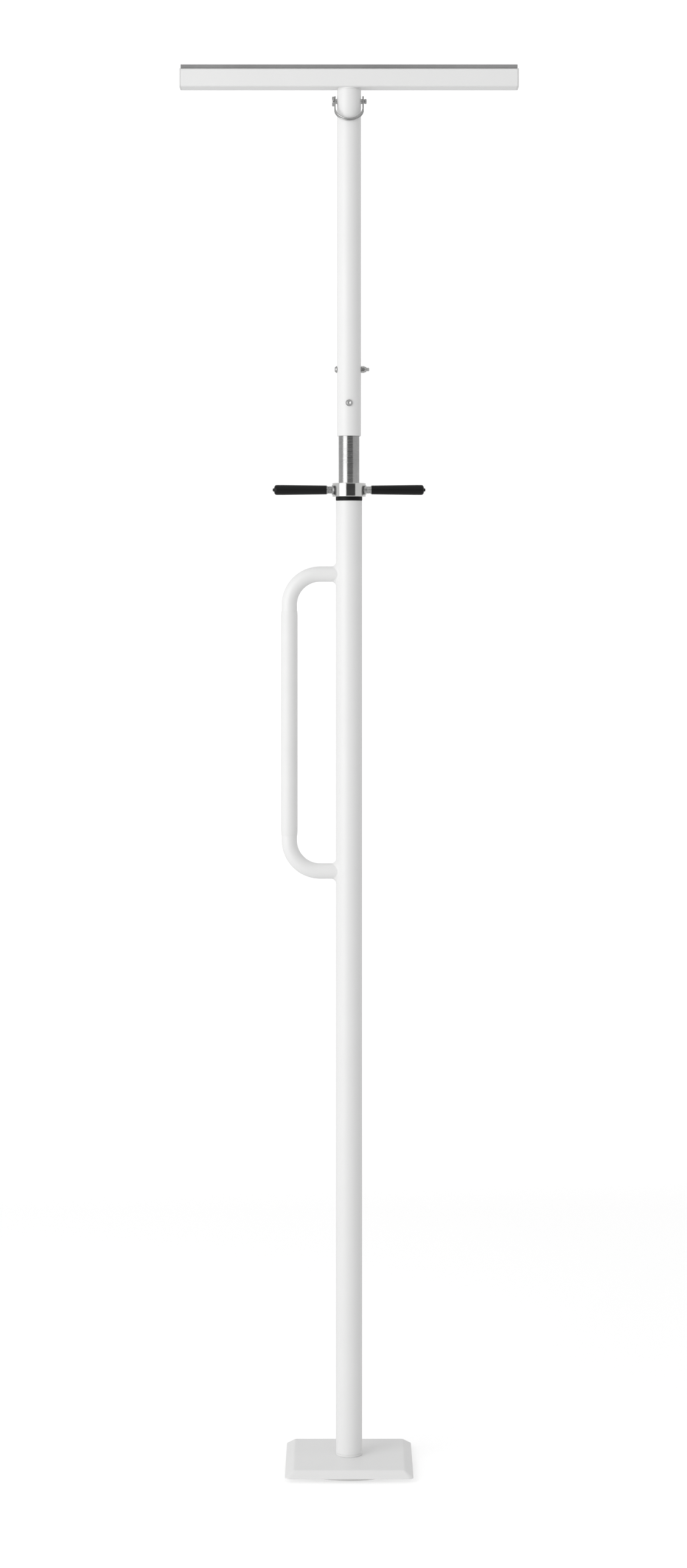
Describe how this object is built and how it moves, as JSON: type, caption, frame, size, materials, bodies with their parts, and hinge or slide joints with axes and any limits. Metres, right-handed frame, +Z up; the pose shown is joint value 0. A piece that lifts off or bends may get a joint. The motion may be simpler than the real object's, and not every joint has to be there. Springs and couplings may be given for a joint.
{
  "type": "floor-to-ceiling grab pole",
  "caption": "Floor-to-ceiling tension grab pole: floor plate, pole with D handle, screw jack with bar nut, and T ceiling head held by a lock pin with wire bail.",
  "frame": {"origin": "centre of the pole at floor level, under the rubber sole", "axes": "+Z up along the pole, +X along the ceiling beam away from the handle, -Y the front"},
  "size_m": [0.55, 0.205, 2.27],
  "materials": {
    "white_powder": "smooth satin white powder coat",
    "white_sleeve": "smooth white vinyl sleeve",
    "white_plastic": "moulded white plastic",
    "black_plastic": "moulded black plastic, low sheen",
    "guide_plastic": "machined grey plastic",
    "bright_steel": "turned and polished, bright zinc plated",
    "zinc_steel": "bright zinc plated steel with fine machining marks",
    "black_vinyl": "dipped black vinyl, satin gloss",
    "grey_rubber": "matt mid-grey rubber strip",
    "sole_rubber": "matt pale grey rubber",
    "nylon": "natural nylon"
  },
  "bodies": {
    "base": {"rubber_sole": "sole_rubber", "floor_plate": "white_powder", "plate_stub": "white_powder", "stub_weld": "white_powder"},
    "pole": {"foot_bush": "white_plastic", "lower_tube": "white_powder", "handle_tube": "white_powder", "handle_grip": "white_sleeve", "handle_welds": "white_powder", "top_bush": "black_plastic"},
    "jack": {"jack_nut": "bright_steel", "jack_bars": "zinc_steel", "jack_grips": "black_vinyl"},
    "head": {"screw_tube": "zinc_steel", "screw_guide": "guide_plastic", "upper_tube": "white_powder", "cross_bolts": "zinc_steel", "lock_nuts": "zinc_steel", "nut_inserts": "nylon", "head_stub": "white_powder", "head_collar": "white_powder", "head_beam": "white_powder", "beam_end_caps": "white_plastic", "ceiling_strip": "grey_rubber"},
    "pin": {"lock_pin": "zinc_steel", "pin_bail": "zinc_steel"}
  },
  "joints": [
    {"name": "pole_swivel", "type": "hinge", "parent": "base", "child": "pole", "pos_m": [0, 0, 0.0175], "axis": [0, 0, 1], "continuous": true},
    {"name": "nut_turn", "type": "hinge", "parent": "pole", "child": "jack", "pos_m": [0, 0, 1.5825], "axis": [0, 0, 1], "range_deg": [-10800, 13680]},
    {"name": "head_lift", "type": "slide", "parent": "pole", "child": "head", "axis": [0, 0, 1], "range_m": [-0.0762, 0.0602]},
    {"name": "pin_turn", "type": "hinge", "parent": "head", "child": "pin", "pos_m": [0, 0, 2.213], "axis": [-1, 0, 0], "range_deg": [0, 85]}
  ],
  "couplings": [
    {"joint": "head_lift", "follows": "nut_turn", "m_per_rad": -0.00031831}
  ]
}
